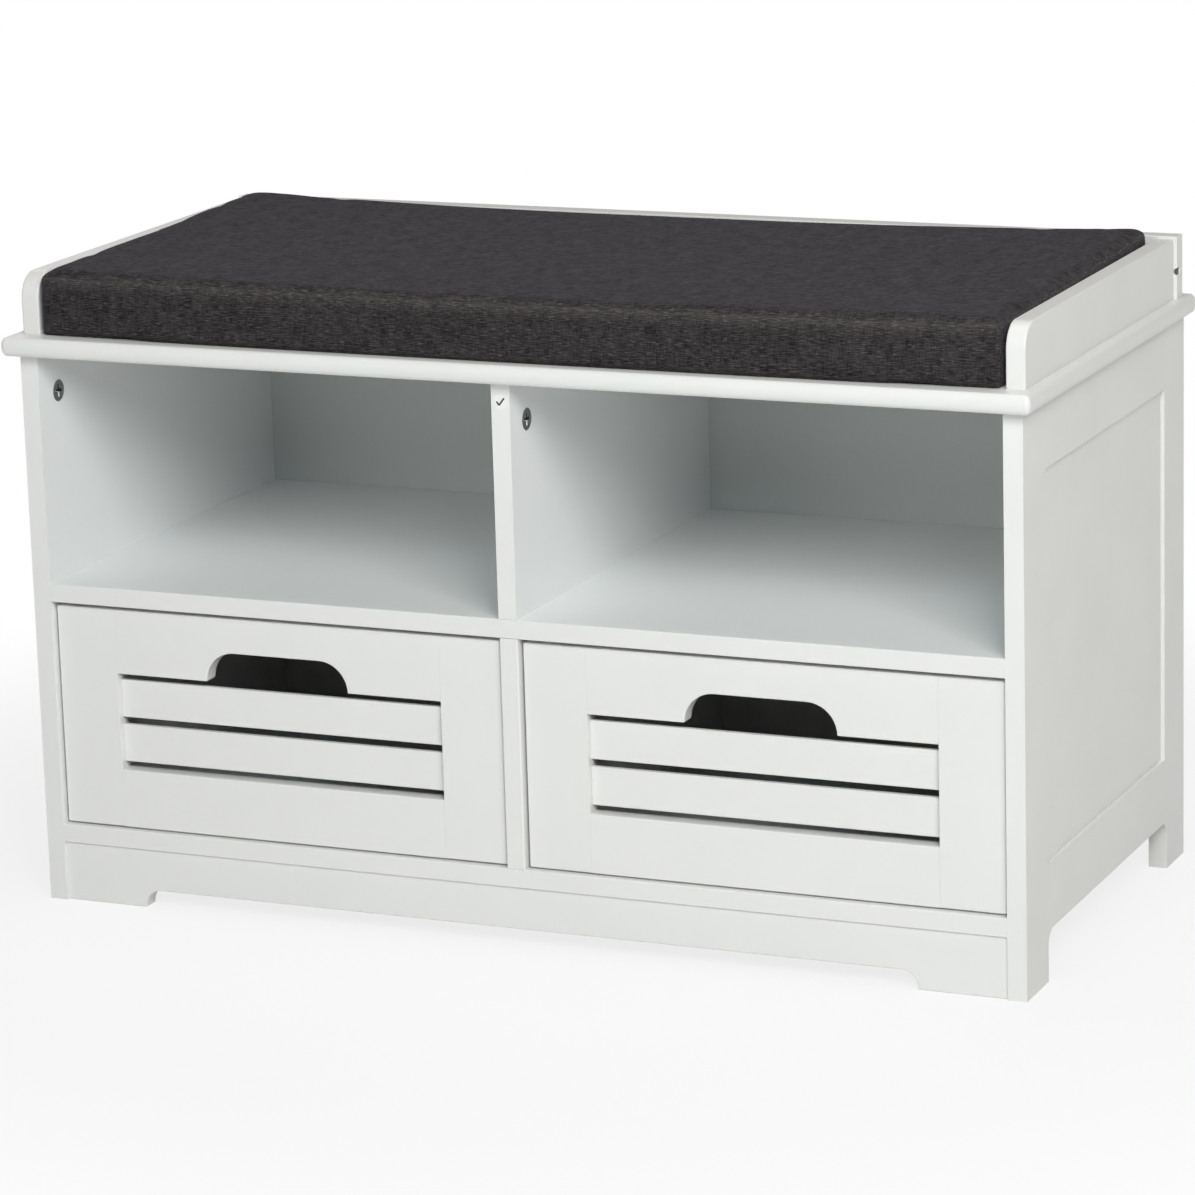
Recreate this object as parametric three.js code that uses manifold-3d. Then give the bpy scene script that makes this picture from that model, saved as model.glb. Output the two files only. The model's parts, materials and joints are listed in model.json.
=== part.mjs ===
// Entryway bench: a painted board carcass with two open cubbies over two slatted drawers,
// a round-nosed seat board with a low rail on three sides, and a loose fabric cushion.
// Millimetres, +Z up. +X points to the right of someone facing the drawers and the front faces -Y.
// The origin is on the floor, under the centre of the bench's bounding box.

import * as THREE from 'three';
import { RoundedBoxGeometry } from 'three/addons/geometries/RoundedBoxGeometry.js';
import { mergeVertices } from 'three/addons/utils/BufferGeometryUtils.js';
import Module from 'manifold-3d';

const wasm = await Module();
wasm.setup();

// ---------- Driving dimensions ----------

// Carcass
const CARCASS_WIDTH = 820; // over the outer faces of the side panels
const CARCASS_DEPTH = 397; // front edge to rear edge of the side panels
const FOOT_HEIGHT = 48; // floor to the underside of the bottom board
const DRAWER_BAY_HEIGHT = 182; // bottom board to shelf
const CUBBY_HEIGHT = 183; // shelf to seat board
const PANEL_THICKNESS = 15; // side panels
const BOARD_THICKNESS = 15; // shelf and bottom board
const DIVIDER_THICKNESS = 15;
const JOINT_GAP = 0.2; // paint line left between boards that are fixed together

// Side panels: a routed field on the outer face and an arch between the feet
const FIELD_MARGIN = 52; // plain border left around the field
const FIELD_DEPTH = 3;
const SIDE_ARCH_HEIGHT = 39.5;
const SIDE_ARCH_RADIUS = 12;
const FRONT_FOOT = 51; // depth of the front foot
const REAR_FOOT = 46; // depth of the rear foot

// Back panel, held in grooves in the side panels
const BACK_THICKNESS = 3;
const BACK_INSET = 3; // rear edge of the carcass to the panel
const BACK_TONGUE = 5; // how far the panel reaches into each groove

// Front apron under the bottom board
const APRON_THICKNESS = 15;
const APRON_SETBACK = 2;
const APRON_FOOT = 70.5; // width of each foot of the apron
const APRON_ARCH_HEIGHT = 14.5;
const APRON_ARCH_RADIUS = 13;

// Seat board, with a shallow rounded nose at the front and both sides
const SEAT_THICKNESS = 15;
const SEAT_NOSE_DEPTH = 4.5; // how far in from its tip the nose is curved
const SEAT_OVERHANG_FRONT = 14;
const SEAT_OVERHANG_SIDE = 10;

// Rails around the seat
const RAIL_THICKNESS = 15;
const RAIL_HEIGHT = 47.5;
const RAIL_SETBACK = 6.5; // carcass front to the front end of the side rails
const RAIL_CORNER_RADIUS = 20; // rounded top front corner of the side rails
const BACK_RAIL_THICKNESS = 15;
const BACK_RAIL_SETBACK = 12; // carcass rear to the rear face of the back rail
const BACK_RAIL_SHIFT = 2.6; // how far to the right of centre the back rail is fixed
const BACK_RAIL_RISE = 2; // how much higher the back rail is than the side rails
const SCREW_NOTCH_DIAMETER = 5.5; // screw notch at each end of the back rail
const SCREW_NOTCH_DEPTH = 7;
const SCREW_NOTCH_HEIGHT = 21.5; // seat to the middle of each notch

// Cushion
const CUSHION_THICKNESS = 51;
const CUSHION_SIDE_GAP = 1.5;
const CUSHION_REAR_GAP = 2.5;
const CUSHION_REACH = 2; // how far the cushion stands out past the front ends of the side rails
const CUSHION_CORNER_RADIUS = 8;
const CUSHION_REST_GAP = 0.3;

// Drawer fronts: a frame of two stiles and two rails around two slats
const FRONT_THICKNESS = 15;
const FRONT_SETBACK = 5; // carcass front to the face of the drawer fronts
const FRONT_SIDE_GAP = 2;
const FRONT_TOP_GAP = 3.5;
const FRONT_BOTTOM_GAP = 1.2;
const STILE_WIDTH = 51.5;
const TOP_RAIL_WIDTH = 52;
const BOTTOM_RAIL_WIDTH = 47;
const SLAT_COUNT = 2;
const SLAT_SLOT = 5.8; // open slot above and below each slat
const SLAT_THICKNESS = 5;
const SLAT_SETBACK = 5; // face of the frame to the face of the slats
const GRIP_WIDTH = 122; // finger grip cut in the lower edge of the top rail
const GRIP_HEIGHT = 24;
const GRIP_RADIUS = 24;

// Drawer boxes
const BOX_LENGTH = 358; // drawer front to the rear end of the drawer sides
const BOX_SIDE_GAP = 3; // drawer side to the wall of its bay
const BOX_SIDE_HEIGHT = 150;
const BOX_SIDE_THICKNESS = 12;
const BOX_BACK_THICKNESS = 12;
const BOX_BOTTOM_THICKNESS = 3;
const BOX_BOTTOM_LIFT = 8; // lower edge of the drawer sides to the underside of the drawer bottom
const BOX_GROOVE_DEPTH = 5;
const RUNNING_GAP = 0.4; // bottom board to the lower edges of the drawer sides

// Cam locks that pull the upright boards up to the seat board
const CAM_DIAMETER = 17;
const CAM_DEPTH = 11;
const CAM_DROP = 34; // underside of the seat board to the cam's centre
const CAM_FRONT_INSET = 30.5; // carcass front to the front cams
const CAM_REAR_INSET = 58; // carcass rear to the rear cams
const CAM_FIT = 0.3; // clearance around each cam and bolt
const CAM_SLOT_LENGTH = 10; // cross slot in the cam's face
const CAM_SLOT_WIDTH = 2.4;
const CAM_SLOT_DEPTH = 3;
const BOLT_DIAMETER = 6.4;
const BOLT_COLLAR_DIAMETER = 7.6;
const BOLT_COLLAR_LENGTH = 4;
const BOLT_THREAD_LENGTH = 9.5; // length screwed into the seat board

// ---------- Planes worked out from the dimensions ----------

const OUTER = CARCASS_WIDTH / 2; // outer face of the right side panel
const INNER = OUTER - PANEL_THICKNESS; // its inner face
const FRONT = SEAT_OVERHANG_FRONT - (CARCASS_DEPTH + SEAT_OVERHANG_FRONT) / 2;
const REAR = FRONT + CARCASS_DEPTH;
const BOTTOM_TOP = FOOT_HEIGHT + BOARD_THICKNESS;
const SHELF_BOTTOM = BOTTOM_TOP + DRAWER_BAY_HEIGHT;
const SHELF_TOP = SHELF_BOTTOM + BOARD_THICKNESS;
const SEAT_BOTTOM = SHELF_TOP + CUBBY_HEIGHT;
const SEAT_TOP = SEAT_BOTTOM + SEAT_THICKNESS;
const RAIL_BOTTOM = SEAT_TOP + JOINT_GAP;
const RAIL_TOP = SEAT_TOP + RAIL_HEIGHT;
const BACK_REAR = REAR - BACK_INSET;
const BACK_FRONT = BACK_REAR - BACK_THICKNESS;
const SHELF_REAR = BACK_FRONT - JOINT_GAP;
const BACK_RAIL_REAR = REAR - BACK_RAIL_SETBACK;
const BACK_RAIL_FRONT = BACK_RAIL_REAR - BACK_RAIL_THICKNESS;
const RAIL_FRONT = FRONT + RAIL_SETBACK;

// ---------- Finishes ----------

const whitePaint = () => new THREE.MeshStandardMaterial({ color: '#dcddd8', roughness: 0.45, metalness: 0 });
const greyCloth = () => new THREE.MeshStandardMaterial({ color: '#3e3a3d', roughness: 0.95, metalness: 0 });
const zinc = () => new THREE.MeshStandardMaterial({ color: '#8d9190', roughness: 0.4, metalness: 0.9 });

// ---------- Shapes ----------

const ARC_STEPS = 5; // sets how many straight steps each rounded stretch of an outline gets
const OVERCUT = 1; // how far a cutting shape runs past the face that it opens

/** The two values in rising order. */
const span = (a, b) => [Math.min(a, b), Math.max(a, b)];

/** A box between two values on each axis. */
function box([x0, x1], [y0, y1], [z0, z1]) {
  const shape = new THREE.BoxGeometry(x1 - x0, y1 - y0, z1 - z0);
  return shape.translate((x0 + x1) / 2, (y0 + y1) / 2, (z0 + z1) / 2);
}

/** The flat outline as one loop of separate points. */
function loop(outline) {
  const points = outline.getPoints(ARC_STEPS);
  return new THREE.Shape(points.filter((point, i) => point.distanceTo(points.at(i - 1)) > 0.001));
}

/** An outline drawn in Y and Z, carried along X. */
function alongX(outline, [x0, x1]) {
  const shape = new THREE.ExtrudeGeometry(loop(outline), { depth: x1 - x0, bevelEnabled: false });
  const axes = [new THREE.Vector3(0, 1, 0), new THREE.Vector3(0, 0, 1), new THREE.Vector3(1, 0, 0)];
  return shape.applyMatrix4(new THREE.Matrix4().makeBasis(...axes)).translate(x0, 0, 0);
}

/** An outline drawn in X and Z, carried along Y. */
function alongY(outline, [y0, y1]) {
  const shape = new THREE.ExtrudeGeometry(loop(outline), { depth: y1 - y0, bevelEnabled: false });
  const axes = [new THREE.Vector3(1, 0, 0), new THREE.Vector3(0, 0, 1), new THREE.Vector3(0, -1, 0)];
  return shape.applyMatrix4(new THREE.Matrix4().makeBasis(...axes)).translate(0, y1, 0);
}

/** Round bars along each axis. */
function barX(diameter, [x0, x1], y, z) {
  const shape = new THREE.CylinderGeometry(diameter / 2, diameter / 2, x1 - x0, 24);
  return shape.rotateZ(Math.PI / 2).translate((x0 + x1) / 2, y, z);
}
function barY(diameter, [y0, y1], x, z) {
  const shape = new THREE.CylinderGeometry(diameter / 2, diameter / 2, y1 - y0, 16);
  return shape.translate(x, (y0 + y1) / 2, z);
}
function barZ(diameter, [z0, z1], x, y) {
  const shape = new THREE.CylinderGeometry(diameter / 2, diameter / 2, z1 - z0, 16);
  return shape.rotateX(Math.PI / 2).translate(x, y, (z0 + z1) / 2);
}

/** A closed geometry as a solid that can be joined and cut. */
function solid(geometry) {
  const bare = geometry.clone();
  bare.deleteAttribute('normal');
  bare.deleteAttribute('uv');
  const merged = mergeVertices(bare);
  const vertProperties = new Float32Array(merged.attributes.position.array);
  const triVerts = new Uint32Array(merged.index.array);
  return new wasm.Manifold(new wasm.Mesh({ numProp: 3, vertProperties, triVerts }));
}

/** A solid as a geometry. */
function geometryOf(body) {
  const { vertProperties, triVerts } = body.getMesh();
  const geometry = new THREE.BufferGeometry();
  geometry.setAttribute('position', new THREE.BufferAttribute(vertProperties, 3));
  geometry.setIndex(new THREE.BufferAttribute(triVerts, 1));
  geometry.computeVertexNormals();
  return geometry;
}

/** A geometry with others cut out of it. */
function cut(base, tools) {
  return geometryOf(tools.reduce((rest, tool) => rest.subtract(solid(tool)), solid(base)));
}

const bench = new THREE.Group();

/** Adds one named piece to the bench. */
function piece(name, geometry, material) {
  const mesh = new THREE.Mesh(geometry, material);
  mesh.name = name;
  bench.add(mesh);
}

/**
 * An upright board's outline with an arch cut up from its lower edge: the board runs from low to high
 * and has a foot of the given width at each end.
 */
function archedOutline({ low, high, lowFoot, highFoot, archHeight, archRadius, top }) {
  const radius = Math.min(archRadius, archHeight);
  const archLow = low + lowFoot;
  const archHigh = high - highFoot;
  const outline = new THREE.Shape();
  outline.moveTo(low, 0);
  outline.lineTo(archLow, 0);
  outline.absarc(archLow + radius, archHeight - radius, radius, Math.PI, Math.PI / 2, true);
  outline.absarc(archHigh - radius, archHeight - radius, radius, Math.PI / 2, 0, true);
  outline.lineTo(archHigh, 0);
  outline.lineTo(high, 0);
  outline.lineTo(high, top);
  outline.lineTo(low, top);
  return outline;
}

// ---------- Cam locks ----------

const CAM_CENTRE = SEAT_BOTTOM - CAM_DROP;
const CAM_ROWS = { front: FRONT + CAM_FRONT_INSET, rear: REAR - CAM_REAR_INSET };

// Each upright board that carries cams: the face they show on, the way into the board, and its middle
const CAM_BOARDS = {
  left_panel: { face: -INNER, inward: -1, middle: -(INNER + OUTER) / 2 },
  right_panel: { face: INNER, inward: 1, middle: (INNER + OUTER) / 2 },
  upper_divider: { face: DIVIDER_THICKNESS / 2, inward: -1, middle: 0 },
};

/** The pocket for each cam in a board and the bore for its bolt. */
function camSeats({ face, inward, middle }) {
  const pocket = span(face - inward * OVERCUT, face + inward * (CAM_DEPTH + CAM_FIT));
  const bore = [CAM_CENTRE, SEAT_BOTTOM + OVERCUT];
  return Object.values(CAM_ROWS).flatMap((y) => [
    barX(CAM_DIAMETER + 2 * CAM_FIT, pocket, y, CAM_CENTRE),
    barZ(BOLT_COLLAR_DIAMETER + 2 * CAM_FIT, bore, middle, y),
  ]);
}

/** A cam: a disc flush with its board, with a cross slot for the screwdriver. */
function cam({ face, inward }, y) {
  const disc = barX(CAM_DIAMETER, span(face, face + inward * CAM_DEPTH), y, CAM_CENTRE);
  const depth = span(face - inward * OVERCUT, face + inward * CAM_SLOT_DEPTH);
  const long = CAM_SLOT_LENGTH / 2;
  const short = CAM_SLOT_WIDTH / 2;
  const upright = box(depth, [y - short, y + short], [CAM_CENTRE - long, CAM_CENTRE + long]);
  const level = box(depth, [y - long, y + long], [CAM_CENTRE - short, CAM_CENTRE + short]);
  return cut(disc, [upright, level]);
}

/** The bolt above a cam: a shank, a collar under the seat board, and the thread inside it. */
function camBolt({ middle }, y) {
  const low = CAM_CENTRE + CAM_DIAMETER / 2 + CAM_FIT;
  const collarTop = SEAT_BOTTOM - JOINT_GAP;
  const shank = BOLT_DIAMETER / 2;
  const collar = BOLT_COLLAR_DIAMETER / 2;
  const profile = [
    [0, low],
    [shank, low],
    [shank, collarTop - BOLT_COLLAR_LENGTH],
    [collar, collarTop - BOLT_COLLAR_LENGTH],
    [collar, collarTop],
    [shank, collarTop],
    [shank, SEAT_BOTTOM + BOLT_THREAD_LENGTH],
    [0, SEAT_BOTTOM + BOLT_THREAD_LENGTH],
  ];
  const points = profile.map(([radius, height]) => new THREE.Vector2(radius, height));
  return new THREE.LatheGeometry(points, 12).rotateX(Math.PI / 2).translate(middle, y, 0);
}

for (const [board, place] of Object.entries(CAM_BOARDS)) {
  for (const [row, y] of Object.entries(CAM_ROWS)) {
    piece(`${board}_${row}_cam`, cam(place, y), zinc());
    piece(`${board}_${row}_cam_bolt`, camBolt(place, y), zinc());
  }
}

// ---------- Carcass ----------

/** A side panel, on the left for side -1 and on the right for side 1. */
function sidePanel(side, camSeat) {
  const outline = archedOutline({
    low: FRONT,
    high: REAR,
    lowFoot: FRONT_FOOT,
    highFoot: REAR_FOOT,
    archHeight: SIDE_ARCH_HEIGHT,
    archRadius: SIDE_ARCH_RADIUS,
    top: SEAT_BOTTOM - JOINT_GAP,
  });
  const field = box(
    span(side * (OUTER - FIELD_DEPTH), side * (OUTER + OVERCUT)),
    [FRONT + FIELD_MARGIN, REAR - FIELD_MARGIN],
    [SIDE_ARCH_HEIGHT + FIELD_MARGIN, SEAT_BOTTOM - FIELD_MARGIN],
  );
  const groove = box(
    span(side * (INNER - OVERCUT), side * (INNER + BACK_TONGUE + JOINT_GAP)),
    [BACK_FRONT - JOINT_GAP, BACK_REAR + JOINT_GAP],
    [FOOT_HEIGHT - JOINT_GAP, SEAT_BOTTOM + OVERCUT],
  );
  return cut(alongX(outline, span(side * INNER, side * OUTER)), [field, groove, ...camSeats(camSeat)]);
}
piece('left_side_panel', sidePanel(-1, CAM_BOARDS.left_panel), whitePaint());
piece('right_side_panel', sidePanel(1, CAM_BOARDS.right_panel), whitePaint());

const BETWEEN_PANELS = [-INNER + JOINT_GAP, INNER - JOINT_GAP];
const BOARD_RUN = [FRONT, SHELF_REAR];
piece('bottom_board', box(BETWEEN_PANELS, BOARD_RUN, [FOOT_HEIGHT, BOTTOM_TOP]), whitePaint());
piece('shelf', box(BETWEEN_PANELS, BOARD_RUN, [SHELF_BOTTOM, SHELF_TOP]), whitePaint());

const DIVIDER_RUN = [-DIVIDER_THICKNESS / 2, DIVIDER_THICKNESS / 2];
const LOWER_DIVIDER_HEIGHT = [BOTTOM_TOP + JOINT_GAP, SHELF_BOTTOM - JOINT_GAP];
const UPPER_DIVIDER_HEIGHT = [SHELF_TOP + JOINT_GAP, SEAT_BOTTOM - JOINT_GAP];
piece('lower_divider', box(DIVIDER_RUN, BOARD_RUN, LOWER_DIVIDER_HEIGHT), whitePaint());
piece(
  'upper_divider',
  cut(box(DIVIDER_RUN, BOARD_RUN, UPPER_DIVIDER_HEIGHT), camSeats(CAM_BOARDS.upper_divider)),
  whitePaint(),
);

const apronOutline = archedOutline({
  low: -INNER + JOINT_GAP,
  high: INNER - JOINT_GAP,
  lowFoot: APRON_FOOT,
  highFoot: APRON_FOOT,
  archHeight: APRON_ARCH_HEIGHT,
  archRadius: APRON_ARCH_RADIUS,
  top: FOOT_HEIGHT - JOINT_GAP,
});
const APRON_FRONT = FRONT + APRON_SETBACK;
piece('front_apron', alongY(apronOutline, [APRON_FRONT, APRON_FRONT + APRON_THICKNESS]), whitePaint());

const BACK_HALF_WIDTH = INNER + BACK_TONGUE;
piece(
  'back_panel',
  box([-BACK_HALF_WIDTH, BACK_HALF_WIDTH], [BACK_FRONT, BACK_REAR], [FOOT_HEIGHT, SEAT_BOTTOM - JOINT_GAP]),
  whitePaint(),
);

// ---------- Seat board and rails ----------

/** The seat board: where the front and side noses cross, they meet in a mitre. */
function seatBoard() {
  const nose = [SEAT_NOSE_DEPTH, SEAT_THICKNESS / 2];
  const middle = SEAT_BOTTOM + SEAT_THICKNESS / 2;
  const tip = OUTER + SEAT_OVERHANG_SIDE;
  const front = FRONT - SEAT_OVERHANG_FRONT;

  const lengthways = new THREE.Shape();
  lengthways.moveTo(REAR, SEAT_BOTTOM);
  lengthways.lineTo(REAR, SEAT_TOP);
  lengthways.absellipse(front + SEAT_NOSE_DEPTH, middle, ...nose, Math.PI / 2, (3 * Math.PI) / 2, false);

  const endways = new THREE.Shape();
  endways.absellipse(tip - SEAT_NOSE_DEPTH, middle, ...nose, -Math.PI / 2, Math.PI / 2, false);
  endways.absellipse(SEAT_NOSE_DEPTH - tip, middle, ...nose, Math.PI / 2, (3 * Math.PI) / 2, false);

  const frontNose = solid(alongX(lengthways, [-tip - OVERCUT, tip + OVERCUT]));
  const sideNoses = solid(alongY(endways, [front - OVERCUT, REAR + OVERCUT]));
  const threads = Object.values(CAM_BOARDS).flatMap((board) =>
    Object.values(CAM_ROWS).map((y) => {
      const hole = [SEAT_BOTTOM - OVERCUT, SEAT_BOTTOM + BOLT_THREAD_LENGTH + CAM_FIT];
      return barZ(BOLT_DIAMETER + 2 * CAM_FIT, hole, board.middle, y);
    }),
  );
  return cut(geometryOf(frontNose.intersect(sideNoses)), threads);
}
piece('seat_board', seatBoard(), whitePaint());

/** A side rail with its top front corner rounded, on the left for side -1. */
function sideRail(side) {
  const radius = Math.min(RAIL_CORNER_RADIUS, RAIL_HEIGHT);
  const rear = BACK_RAIL_FRONT - JOINT_GAP;
  const outline = new THREE.Shape();
  outline.moveTo(RAIL_FRONT, RAIL_BOTTOM);
  outline.lineTo(rear, RAIL_BOTTOM);
  outline.lineTo(rear, RAIL_TOP);
  outline.absarc(RAIL_FRONT + radius, RAIL_TOP - radius, radius, Math.PI / 2, Math.PI, false);
  return alongX(outline, span(side * (OUTER - RAIL_THICKNESS), side * OUTER));
}
piece('left_rail', sideRail(-1), whitePaint());
piece('right_rail', sideRail(1), whitePaint());

/** The back rail, which laps the rear ends of the side rails and has a screw notch at each end. */
function backRail() {
  const ends = [BACK_RAIL_SHIFT - OUTER, BACK_RAIL_SHIFT + OUTER];
  const board = box(ends, [BACK_RAIL_FRONT, BACK_RAIL_REAR], [RAIL_BOTTOM, RAIL_TOP + BACK_RAIL_RISE]);
  const depth = [BACK_RAIL_FRONT - OVERCUT, BACK_RAIL_FRONT + SCREW_NOTCH_DEPTH];
  const height = RAIL_BOTTOM + SCREW_NOTCH_HEIGHT;
  const notches = ends.map((x) => barY(SCREW_NOTCH_DIAMETER, depth, x, height));
  return cut(board, notches);
}
piece('back_rail', backRail(), whitePaint());

// ---------- Cushion ----------

const CUSHION_END = OUTER - RAIL_THICKNESS - CUSHION_SIDE_GAP;
const CUSHION_FRONT = RAIL_FRONT - CUSHION_REACH;
const CUSHION_REAR = BACK_RAIL_FRONT - CUSHION_REAR_GAP;
const CUSHION_BOTTOM = SEAT_TOP + CUSHION_REST_GAP;
const cushionSize = [2 * CUSHION_END, CUSHION_REAR - CUSHION_FRONT, CUSHION_THICKNESS];
const cushion = new RoundedBoxGeometry(...cushionSize, 3, CUSHION_CORNER_RADIUS);
cushion.translate(0, (CUSHION_FRONT + CUSHION_REAR) / 2, CUSHION_BOTTOM + CUSHION_THICKNESS / 2);
piece('seat_cushion', geometryOf(solid(cushion)), greyCloth());

// ---------- Drawers ----------

/** One drawer, filling the bay between two walls. */
function drawer(name, [wallLow, wallHigh]) {
  const low = wallLow + FRONT_SIDE_GAP;
  const high = wallHigh - FRONT_SIDE_GAP;
  const middle = (low + high) / 2;
  const face = FRONT + FRONT_SETBACK;
  const bottom = BOTTOM_TOP + FRONT_BOTTOM_GAP;
  const top = SHELF_BOTTOM - FRONT_TOP_GAP;
  const framing = [face, face + FRONT_THICKNESS];

  // Frame
  const stileHeight = [bottom, top];
  piece(`${name}_left_stile`, box([low, low + STILE_WIDTH], framing, stileHeight), whitePaint());
  piece(`${name}_right_stile`, box([high - STILE_WIDTH, high], framing, stileHeight), whitePaint());

  const between = [low + STILE_WIDTH + JOINT_GAP, high - STILE_WIDTH - JOINT_GAP];
  const openingTop = top - TOP_RAIL_WIDTH;
  const openingBottom = bottom + BOTTOM_RAIL_WIDTH;
  piece(`${name}_bottom_rail`, box(between, framing, [bottom, openingBottom]), whitePaint());
  piece(`${name}_top_rail`, alongY(gripOutline(between, middle, openingTop, top), framing), whitePaint());

  // Slats
  const slatFace = face + SLAT_SETBACK;
  const slatHeight = (openingTop - openingBottom - SLAT_SLOT) / SLAT_COUNT - SLAT_SLOT;
  for (let i = 0; i < SLAT_COUNT; i += 1) {
    const slatBottom = openingBottom + SLAT_SLOT + i * (slatHeight + SLAT_SLOT);
    const slat = box(between, [slatFace, slatFace + SLAT_THICKNESS], [slatBottom, slatBottom + slatHeight]);
    piece(`${name}_slat_${i + 1}`, slat, whitePaint());
  }

  // Box behind the frame
  const boxFront = face + FRONT_THICKNESS + JOINT_GAP;
  const boxRear = boxFront + BOX_LENGTH;
  const sideBottom = BOTTOM_TOP + RUNNING_GAP;
  const sideTop = sideBottom + BOX_SIDE_HEIGHT;
  const outerLow = wallLow + BOX_SIDE_GAP;
  const outerHigh = wallHigh - BOX_SIDE_GAP;
  const innerLow = outerLow + BOX_SIDE_THICKNESS;
  const innerHigh = outerHigh - BOX_SIDE_THICKNESS;
  const floorBottom = sideBottom + BOX_BOTTOM_LIFT;
  const floorTop = floorBottom + BOX_BOTTOM_THICKNESS;

  const groove = box(
    [innerLow - BOX_GROOVE_DEPTH, innerHigh + BOX_GROOVE_DEPTH],
    [boxFront - OVERCUT, boxRear + OVERCUT],
    [floorBottom - JOINT_GAP, floorTop + JOINT_GAP],
  );
  const sideRun = [boxFront, boxRear];
  const sideHeight = [sideBottom, sideTop];
  piece(`${name}_left_side`, cut(box([outerLow, innerLow], sideRun, sideHeight), [groove]), whitePaint());
  piece(`${name}_right_side`, cut(box([innerHigh, outerHigh], sideRun, sideHeight), [groove]), whitePaint());

  const backRun = [boxRear - BOX_BACK_THICKNESS, boxRear];
  const backHeight = [floorTop + JOINT_GAP, sideTop];
  const betweenSides = [innerLow + JOINT_GAP, innerHigh - JOINT_GAP];
  piece(`${name}_back`, box(betweenSides, backRun, backHeight), whitePaint());

  const tongue = BOX_GROOVE_DEPTH - JOINT_GAP;
  piece(
    `${name}_bottom`,
    box([innerLow - tongue, innerHigh + tongue], sideRun, [floorBottom, floorTop]),
    whitePaint(),
  );
}

/** A drawer's top rail, with the finger grip cut up from its lower edge. */
function gripOutline([low, high], middle, bottom, top) {
  const radius = Math.min(GRIP_RADIUS, GRIP_HEIGHT);
  const half = GRIP_WIDTH / 2;
  const gripTop = bottom + GRIP_HEIGHT;
  const outline = new THREE.Shape();
  outline.moveTo(low, bottom);
  outline.lineTo(middle - half, bottom);
  outline.absarc(middle - half + radius, gripTop - radius, radius, Math.PI, Math.PI / 2, true);
  outline.absarc(middle + half - radius, gripTop - radius, radius, Math.PI / 2, 0, true);
  outline.lineTo(middle + half, bottom);
  outline.lineTo(high, bottom);
  outline.lineTo(high, top);
  outline.lineTo(low, top);
  return outline;
}

drawer('left_drawer', [-INNER, -DIVIDER_THICKNESS / 2]);
drawer('right_drawer', [DIVIDER_THICKNESS / 2, INNER]);

export default bench;
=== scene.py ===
# Entryway bench: a white painted carcass with two open cubbies over two slatted drawers, a round-nosed
# seat board with a low rail on three sides, and a loose cushion in a linen-look cloth. Metres, +Z up.

import json
import math

import bmesh
import bpy
from mathutils import Matrix, Vector

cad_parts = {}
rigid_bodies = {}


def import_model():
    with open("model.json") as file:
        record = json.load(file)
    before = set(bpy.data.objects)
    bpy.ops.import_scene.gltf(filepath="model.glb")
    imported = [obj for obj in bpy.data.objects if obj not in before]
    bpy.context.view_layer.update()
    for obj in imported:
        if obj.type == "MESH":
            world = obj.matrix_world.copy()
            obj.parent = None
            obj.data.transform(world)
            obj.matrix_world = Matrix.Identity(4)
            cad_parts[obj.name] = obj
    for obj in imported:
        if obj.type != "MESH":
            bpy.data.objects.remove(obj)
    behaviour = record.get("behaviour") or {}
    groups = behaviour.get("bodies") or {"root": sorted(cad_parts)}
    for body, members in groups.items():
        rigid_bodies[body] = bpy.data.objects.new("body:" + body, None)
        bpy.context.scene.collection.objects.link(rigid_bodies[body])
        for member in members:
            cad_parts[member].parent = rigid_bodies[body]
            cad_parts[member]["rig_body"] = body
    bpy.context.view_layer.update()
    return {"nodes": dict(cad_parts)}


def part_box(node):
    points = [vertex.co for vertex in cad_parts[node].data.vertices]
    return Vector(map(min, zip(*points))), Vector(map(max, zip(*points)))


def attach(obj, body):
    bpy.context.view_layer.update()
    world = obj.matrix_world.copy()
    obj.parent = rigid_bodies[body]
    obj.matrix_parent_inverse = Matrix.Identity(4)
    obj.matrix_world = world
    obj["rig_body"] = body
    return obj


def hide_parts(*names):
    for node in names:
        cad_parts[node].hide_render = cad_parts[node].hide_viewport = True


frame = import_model()


# ---------- Side panels ----------
# Two boards of medium-density fibreboard that stand from the floor to the seat and carry every other board,
# each with a field routed into its outer face and an arch sawn between its feet. Their arrises are sanded
# round. They are sprayed with satin white lacquer; their inner faces carry a lighter, cooler white as
# painted light for the cubbies.

ARRIS = 0.0011  # radius that sanding and lacquer leave on an open arris
CRISP_ARRIS = 0.0003  # where a board butts against another
PAINT_LINE = 0.0002  # the CAD's gap between boards that are fixed together, closed here by the paint
PAINT_WHITE = "#ececea"
PAINT_SHADE = "#e7e7e5"
# Painted light: a lighter, cooler white for the faces inside the cubbies, for the brighter, cooler light
# there.
CUBBY_LIGHT_WHITE = "#f5f7f7"
CUBBY_LIGHT_SHADE = "#f1f3f3"
CLOUD = 0.07  # spacing of the slight clouding in the sprayed coat
PEEL = 0.0024  # spacing of the orange peel left by the spray gun


def linear(colour):
    """An sRGB hex colour as linear RGBA."""
    parts = [int(colour[i : i + 2], 16) / 255 for i in (1, 3, 5)]
    return [p / 12.92 if p <= 0.04045 else ((p + 0.055) / 1.055) ** 2.4 for p in parts] + [1]


def new_material(name):
    """An empty node material."""
    material = bpy.data.materials.new(name)
    material.use_nodes = True
    material.node_tree.nodes.clear()
    return material


def add_node(material, kind, inputs=None, **settings):
    """Adds a node with its settings. An input takes a value or another node's output."""
    made = material.node_tree.nodes.new(kind)
    for setting, value in settings.items():
        setattr(made, setting, value)
    for socket, value in (inputs or {}).items():
        if isinstance(value, bpy.types.NodeSocket):
            material.node_tree.links.new(value, made.inputs[socket])
        else:
            made.inputs[socket].default_value = value
    return made


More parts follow.
